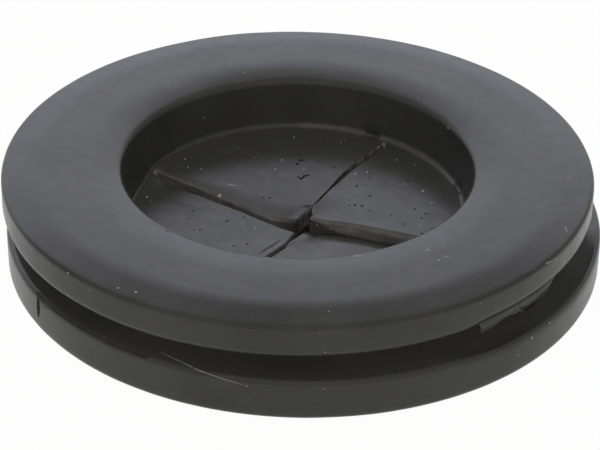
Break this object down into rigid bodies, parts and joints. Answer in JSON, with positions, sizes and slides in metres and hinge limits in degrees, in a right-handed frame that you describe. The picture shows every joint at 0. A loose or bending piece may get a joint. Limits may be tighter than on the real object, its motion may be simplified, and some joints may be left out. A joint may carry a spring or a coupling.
{
  "type": "sealing ring",
  "caption": "Round rubber grommet-type sealing ring with a groove round its rim for a sheet panel and a bore closed by a thin membrane with a cross slit.",
  "frame": {"origin": "on the ring's axis, at the underside of the lower flange", "axes": "+Z along the axis of the bore, out of its open upper mouth; one arm of the cross slit runs nearly along +Y and one nearly along -X"},
  "size_m": [0.0366, 0.0365, 0.0064],
  "materials": {
    "rubber": "satin black moulded rubber, lightly dusty"
  },
  "bodies": {
    "root": {"sealing_ring": "rubber"}
  },
  "joints": []
}
